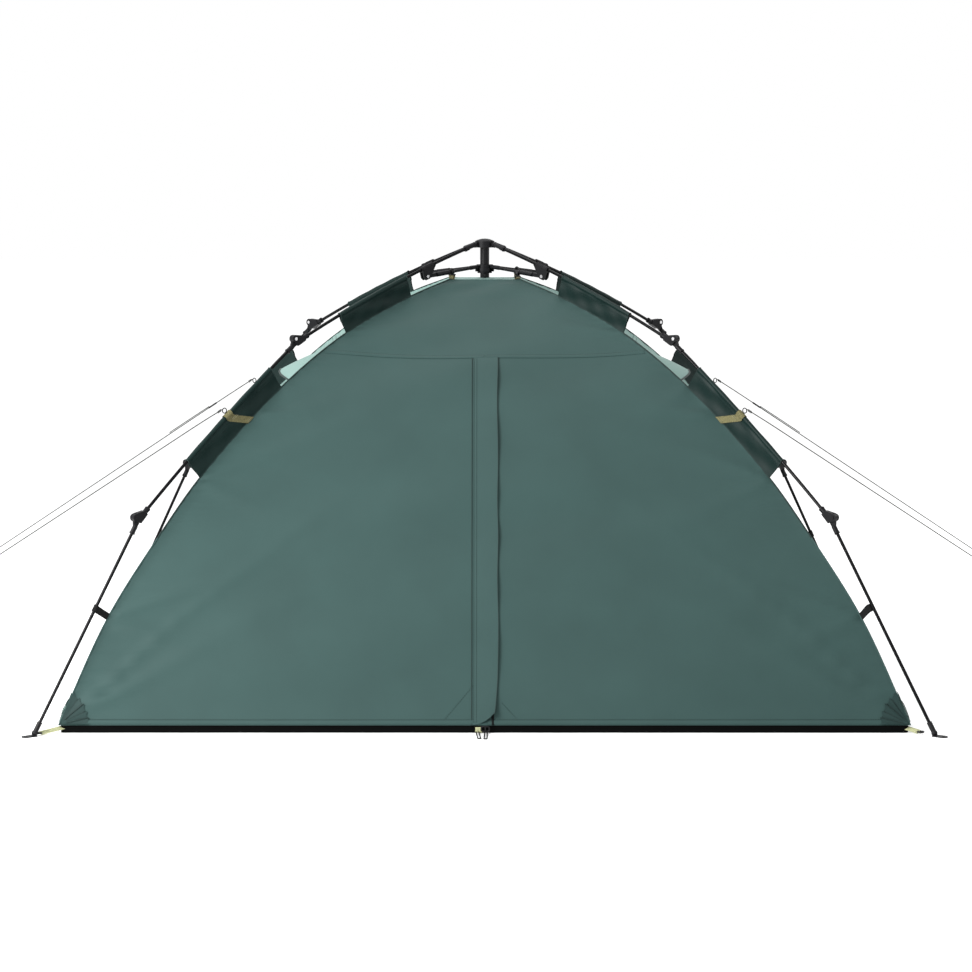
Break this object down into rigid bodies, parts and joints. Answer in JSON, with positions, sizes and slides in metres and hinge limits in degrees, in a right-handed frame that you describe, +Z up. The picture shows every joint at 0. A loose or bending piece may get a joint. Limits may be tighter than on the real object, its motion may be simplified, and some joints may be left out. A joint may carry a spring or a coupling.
{
  "type": "dome tent with external folding frame",
  "caption": "Square dome tent hung inside a jointed black pole frame that folds from a hub with a sliding runner",
  "frame": {"origin": "on the ground, under the hub, at the middle of the floor plan", "axes": "+Z up, -Y out of the door, +X to the right seen from behind, along the wider side"},
  "size_m": [3.3326, 2.25, 1.35],
  "materials": {
    "pole": "glossy black coated tube",
    "strut": "satin black tube and sockets",
    "shaft": "satin black tube",
    "fitting": "dark grey moulded plastic",
    "pin": "bright rivet",
    "foot": "dark moulded plastic",
    "fly": "coated teal green cloth",
    "fly_light": "the same cloth in full light, pale green",
    "flap": "coated teal green cloth",
    "sleeve": "dark green cloth",
    "tub": "black coated cloth",
    "khaki_strap": "khaki webbing",
    "pale_webbing": "pale khaki webbing",
    "elastic": "black elastic webbing",
    "buckle": "black plastic",
    "guy_line": "grey braided line"
  },
  "bodies": {
    "root": {"front_panel": "fly", "rear_panel": "fly", "side_panels": "fly_light", "roof_panel": "fly_light", "groundsheet": "tub", "storm_flap": "flap", "pole_sleeves": "sleeve", "guy_straps": "khaki_strap", "elastic_straps": "elastic", "corner_webbing": "pale_webbing", "roof_hangers": "khaki_strap", "vent_hoods": "fly_light", "door_tab": "khaki_strap", "line_fittings": "buckle", "front_left_guy_line": "guy_line", "front_right_guy_line": "guy_line", "rear_left_guy_line": "guy_line", "rear_right_guy_line": "guy_line"},
    "hub": {"hub_cap": "fitting", "hub_pins": "pin", "centre_shaft": "shaft", "roof_hook": "buckle"},
    "runner": {"runner": "fitting", "runner_pins": "pin"},
    "front_left_arm": {"front_left_upper_pole": "pole", "front_left_arm_fittings": "fitting", "front_left_arm_pins": "pin"},
    "front_left_strut_link": {"front_left_strut": "strut"},
    "front_left_middle": {"front_left_middle_pole": "pole", "front_left_middle_fittings": "fitting"},
    "front_left_lower": {"front_left_lower_pole": "pole", "front_left_lower_knuckle": "fitting", "front_left_foot": "foot"},
    "front_right_arm": {"front_right_upper_pole": "pole", "front_right_arm_fittings": "fitting", "front_right_arm_pins": "pin"},
    "front_right_strut_link": {"front_right_strut": "strut"},
    "front_right_middle": {"front_right_middle_pole": "pole", "front_right_middle_fittings": "fitting"},
    "front_right_lower": {"front_right_lower_pole": "pole", "front_right_lower_knuckle": "fitting", "front_right_foot": "foot"},
    "rear_left_arm": {"rear_left_upper_pole": "pole", "rear_left_arm_fittings": "fitting", "rear_left_arm_pins": "pin"},
    "rear_left_strut_link": {"rear_left_strut": "strut"},
    "rear_left_middle": {"rear_left_middle_pole": "pole", "rear_left_middle_fittings": "fitting"},
    "rear_left_lower": {"rear_left_lower_pole": "pole", "rear_left_lower_knuckle": "fitting", "rear_left_foot": "foot"},
    "rear_right_arm": {"rear_right_upper_pole": "pole", "rear_right_arm_fittings": "fitting", "rear_right_arm_pins": "pin"},
    "rear_right_strut_link": {"rear_right_strut": "strut"},
    "rear_right_middle": {"rear_right_middle_pole": "pole", "rear_right_middle_fittings": "fitting"},
    "rear_right_lower": {"rear_right_lower_pole": "pole", "rear_right_lower_knuckle": "fitting", "rear_right_foot": "foot"}
  },
  "joints": [
    {"name": "hub_rise", "type": "slide", "parent": "root", "child": "hub", "axis": [0, 0, 1], "range_m": [0, 0.2027], "deforming": ["front_panel", "rear_panel", "side_panels", "roof_panel", "storm_flap", "pole_sleeves", "guy_straps", "elastic_straps", "corner_webbing", "roof_hangers", "vent_hoods", "door_tab", "line_fittings", "front_left_guy_line", "front_right_guy_line", "rear_left_guy_line", "rear_right_guy_line"]},
    {"name": "runner_slide", "type": "slide", "parent": "hub", "child": "runner", "axis": [0, 0, 1], "range_m": [0, 0.05064]},
    {"name": "front_left_arm_fold", "type": "hinge", "parent": "hub", "child": "front_left_arm", "pos_m": [-0.01731, -0.01515, 1.33], "axis": [0.6587, -0.7524, 0], "range_deg": [0, 63.28]},
    {"name": "front_left_strut_fold", "type": "hinge", "parent": "runner", "child": "front_left_strut_link", "pos_m": [-0.01542, -0.0135, 1.265], "axis": [0.6587, -0.7524, 0], "range_deg": [0, 78.78]},
    {"name": "front_left_upper_elbow", "type": "hinge", "parent": "front_left_arm", "child": "front_left_middle", "pos_m": [-0.5557, -0.48648, 1.07097], "axis": [0.6587, -0.7524, 0], "range_deg": [-20.39, 0]},
    {"name": "front_left_lower_elbow", "type": "hinge", "parent": "front_left_middle", "child": "front_left_lower", "pos_m": [-0.9873, -0.86431, 0.58623], "axis": [0.6587, -0.7524, 0], "range_deg": [-175.5, 0]},
    {"name": "front_right_arm_fold", "type": "hinge", "parent": "hub", "child": "front_right_arm", "pos_m": [0.01731, -0.01515, 1.33], "axis": [0.6587, 0.7524, 0], "range_deg": [0, 63.28]},
    {"name": "front_right_strut_fold", "type": "hinge", "parent": "runner", "child": "front_right_strut_link", "pos_m": [0.01542, -0.0135, 1.265], "axis": [0.6587, 0.7524, 0], "range_deg": [0, 78.78]},
    {"name": "front_right_upper_elbow", "type": "hinge", "parent": "front_right_arm", "child": "front_right_middle", "pos_m": [0.5557, -0.48648, 1.07097], "axis": [0.6587, 0.7524, 0], "range_deg": [-20.39, 0]},
    {"name": "front_right_lower_elbow", "type": "hinge", "parent": "front_right_middle", "child": "front_right_lower", "pos_m": [0.9873, -0.86431, 0.58623], "axis": [0.6587, 0.7524, 0], "range_deg": [-175.5, 0]},
    {"name": "rear_left_arm_fold", "type": "hinge", "parent": "hub", "child": "rear_left_arm", "pos_m": [-0.01731, 0.01515, 1.33], "axis": [-0.6587, -0.7524, 0], "range_deg": [0, 63.28]},
    {"name": "rear_left_strut_fold", "type": "hinge", "parent": "runner", "child": "rear_left_strut_link", "pos_m": [-0.01542, 0.0135, 1.265], "axis": [-0.6587, -0.7524, 0], "range_deg": [0, 78.78]},
    {"name": "rear_left_upper_elbow", "type": "hinge", "parent": "rear_left_arm", "child": "rear_left_middle", "pos_m": [-0.5557, 0.48648, 1.07097], "axis": [-0.6587, -0.7524, 0], "range_deg": [-20.39, 0]},
    {"name": "rear_left_lower_elbow", "type": "hinge", "parent": "rear_left_middle", "child": "rear_left_lower", "pos_m": [-0.9873, 0.86431, 0.58623], "axis": [-0.6587, -0.7524, 0], "range_deg": [-175.5, 0]},
    {"name": "rear_right_arm_fold", "type": "hinge", "parent": "hub", "child": "rear_right_arm", "pos_m": [0.01731, 0.01515, 1.33], "axis": [-0.6587, 0.7524, 0], "range_deg": [0, 63.28]},
    {"name": "rear_right_strut_fold", "type": "hinge", "parent": "runner", "child": "rear_right_strut_link", "pos_m": [0.01542, 0.0135, 1.265], "axis": [-0.6587, 0.7524, 0], "range_deg": [0, 78.78]},
    {"name": "rear_right_upper_elbow", "type": "hinge", "parent": "rear_right_arm", "child": "rear_right_middle", "pos_m": [0.5557, 0.48648, 1.07097], "axis": [-0.6587, 0.7524, 0], "range_deg": [-20.39, 0]},
    {"name": "rear_right_lower_elbow", "type": "hinge", "parent": "rear_right_middle", "child": "rear_right_lower", "pos_m": [0.9873, 0.86431, 0.58623], "axis": [-0.6587, 0.7524, 0], "range_deg": [-175.5, 0]}
  ],
  "couplings": [
    {"joint": "runner_slide", "follows": "hub_rise", "ratio": 0.24882},
    {"joint": "front_left_arm_fold", "follows": "hub_rise", "rad_per_m": 5.4332},
    {"joint": "front_left_strut_fold", "follows": "hub_rise", "rad_per_m": 6.7657},
    {"joint": "front_left_upper_elbow", "follows": "hub_rise", "rad_per_m": -1.7479},
    {"joint": "front_left_lower_elbow", "follows": "hub_rise", "rad_per_m": -15.077},
    {"joint": "front_right_arm_fold", "follows": "hub_rise", "rad_per_m": 5.4332},
    {"joint": "front_right_strut_fold", "follows": "hub_rise", "rad_per_m": 6.7657},
    {"joint": "front_right_upper_elbow", "follows": "hub_rise", "rad_per_m": -1.7479},
    {"joint": "front_right_lower_elbow", "follows": "hub_rise", "rad_per_m": -15.077},
    {"joint": "rear_left_arm_fold", "follows": "hub_rise", "rad_per_m": 5.4332},
    {"joint": "rear_left_strut_fold", "follows": "hub_rise", "rad_per_m": 6.7657},
    {"joint": "rear_left_upper_elbow", "follows": "hub_rise", "rad_per_m": -1.7479},
    {"joint": "rear_left_lower_elbow", "follows": "hub_rise", "rad_per_m": -15.077},
    {"joint": "rear_right_arm_fold", "follows": "hub_rise", "rad_per_m": 5.4332},
    {"joint": "rear_right_strut_fold", "follows": "hub_rise", "rad_per_m": 6.7657},
    {"joint": "rear_right_upper_elbow", "follows": "hub_rise", "rad_per_m": -1.7479},
    {"joint": "rear_right_lower_elbow", "follows": "hub_rise", "rad_per_m": -15.077}
  ]
}
